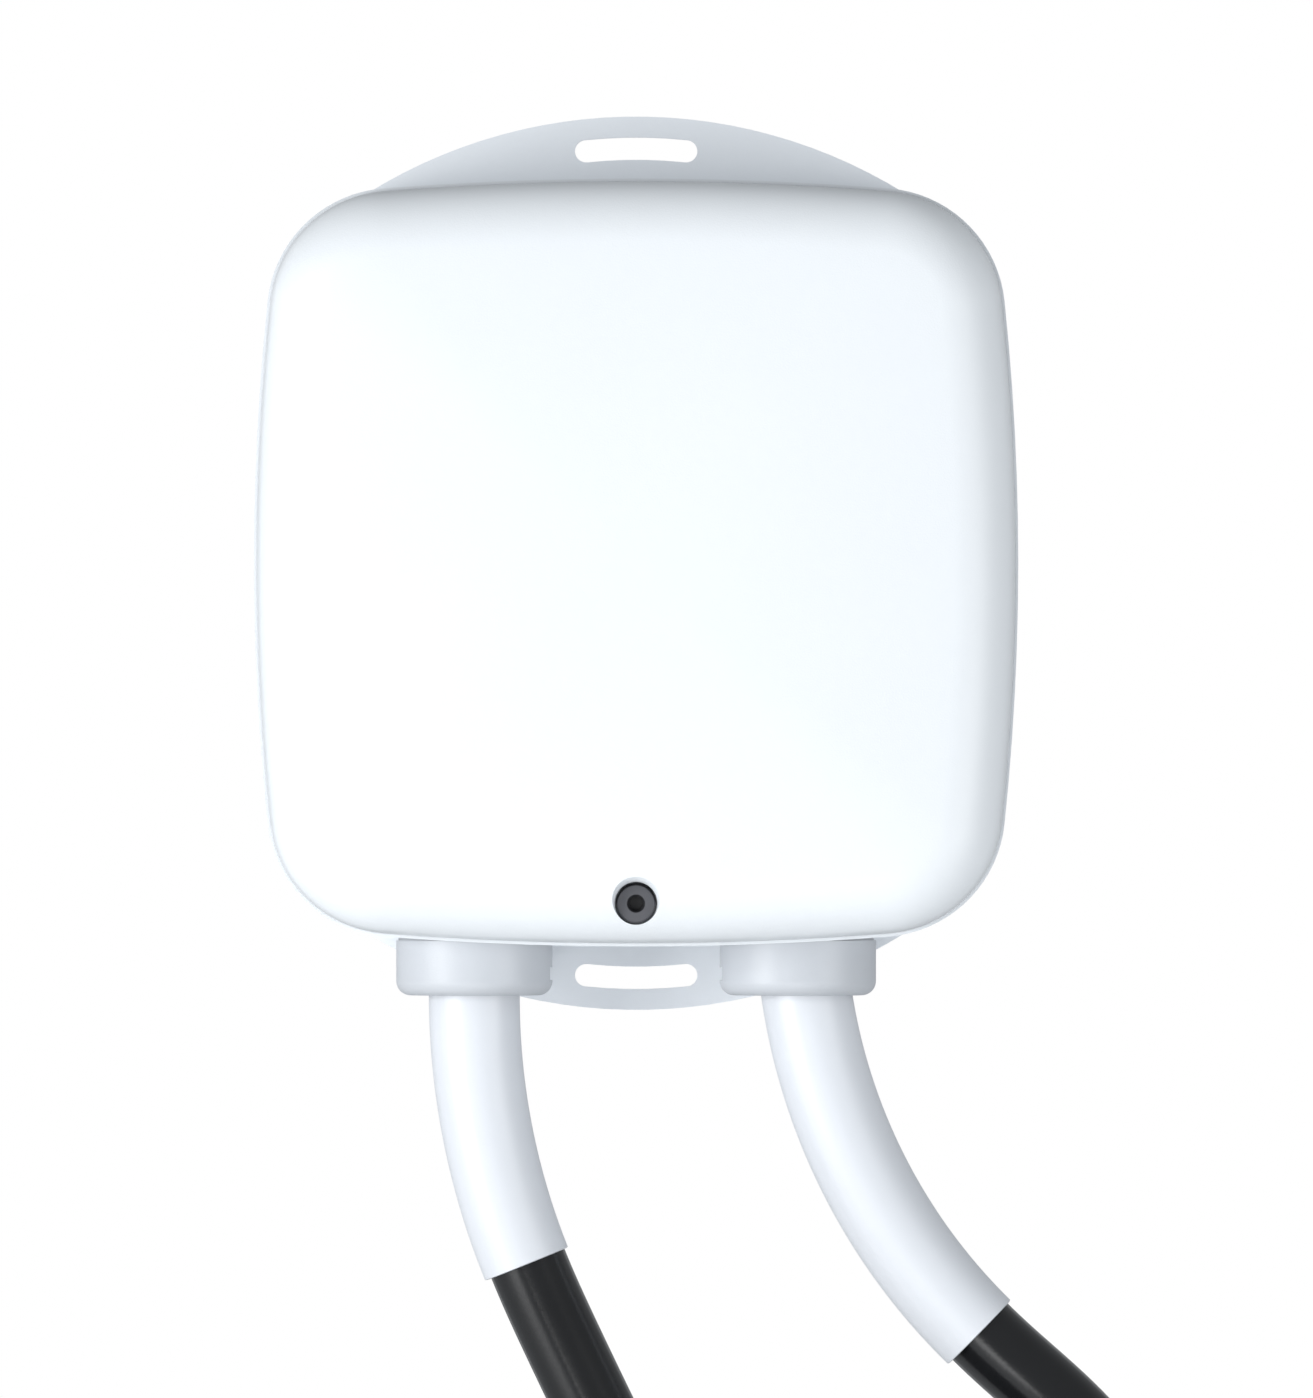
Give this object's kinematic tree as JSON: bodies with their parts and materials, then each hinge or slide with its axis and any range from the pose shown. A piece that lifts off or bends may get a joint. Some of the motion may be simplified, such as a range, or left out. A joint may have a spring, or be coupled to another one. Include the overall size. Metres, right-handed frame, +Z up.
{
  "type": "wall-mounted vehicle charger",
  "caption": "Wall-mounted vehicle charging box with a crowned white cover, slotted wall plate, bend sleeves, a supply cable and a coiled charging cable with its connector.",
  "frame": {"origin": "middle of the wall plate's back face, on the wall", "axes": "+Y into the wall, +Z up, +X to the right of someone facing the box"},
  "size_m": [0.3117, 0.141, 0.7478],
  "materials": {
    "shell_white": "fine-textured white moulded plastic",
    "plate_grey": "light grey-white moulded plastic",
    "sleeve_white": "satin white flexible plastic",
    "cable_black": "satin black cable sheath",
    "seal_rubber": "matt black rubber",
    "dark_steel": "blackened steel",
    "steel": "zinc-plated steel",
    "brass": "turned brass",
    "tin": "tinned copper",
    "dark_plastic": "black polyamide",
    "plug_black": "textured black plastic",
    "terminal_grey": "grey polyamide",
    "sensor_blue": "blue plastic",
    "board_green": "green lacquered circuit board",
    "core_sheath": "coloured core insulation",
    "tie_fabric": "woven hook-and-loop tape"
  },
  "bodies": {
    "root": {"wall_plate": "plate_grey", "rear_case": "shell_white", "plate_screws": "steel", "cover_gasket": "seal_rubber", "cover_screw_insert": "brass", "collar_left": "plate_grey", "collar_right": "plate_grey", "collar_seals": "seal_rubber", "locknut_left": "dark_plastic", "locknut_right": "dark_plastic", "grommet_left": "seal_rubber", "grommet_right": "seal_rubber", "sleeve_left": "sleeve_white", "sleeve_right": "sleeve_white", "clamp_bases": "dark_plastic", "clamp_caps": "dark_plastic", "clamp_screws": "steel", "main_board": "board_green", "board_screws": "steel", "power_relays": "dark_plastic", "power_supply": "dark_plastic", "supply_terminals": "terminal_grey", "charging_terminals": "terminal_grey", "terminal_screws": "steel", "current_sensor": "sensor_blue", "sensor_screws": "steel", "radio_module": "board_green", "supply_wires": "core_sheath", "charging_wires": "core_sheath", "supply_cable": "cable_black", "supply_coil": "cable_black", "supply_tail": "cable_black", "supply_cores": "core_sheath", "core_ferrules": "tin", "supply_coil_ties": "tie_fabric", "charging_cable": "cable_black", "charging_coil": "cable_black", "charging_tail": "cable_black", "charging_coil_ties": "tie_fabric", "connector_boot": "seal_rubber", "connector_shell_left": "plug_black", "connector_shell_right": "plug_black", "connector_nose": "plug_black", "contact_carrier": "dark_plastic", "contact_sleeves": "tin"},
    "cover": {"front_cover": "shell_white"},
    "retainer": {"screw_retainer": "seal_rubber"},
    "screw": {"cover_screw": "dark_steel"},
    "cap": {"dust_cap": "seal_rubber"}
  },
  "joints": [
    {"name": "cover_pull", "type": "slide", "parent": "root", "child": "cover", "axis": [0, -1, 0], "range_m": [0, 0.07]},
    {"name": "screw_back_out", "type": "slide", "parent": "cover", "child": "retainer", "axis": [0, -1, 0], "range_m": [0, 0.0056]},
    {"name": "screw_turn", "type": "hinge", "parent": "retainer", "child": "screw", "pos_m": [0, -0.07, -0.0783], "axis": [0, -1, 0], "range_deg": [0, 2520]},
    {"name": "cap_pull", "type": "slide", "parent": "root", "child": "cap", "axis": [0, 0, -1], "range_m": [0, 0.05]}
  ],
  "couplings": [
    {"joint": "screw_back_out", "follows": "screw_turn", "m_per_rad": 0.00012732}
  ]
}
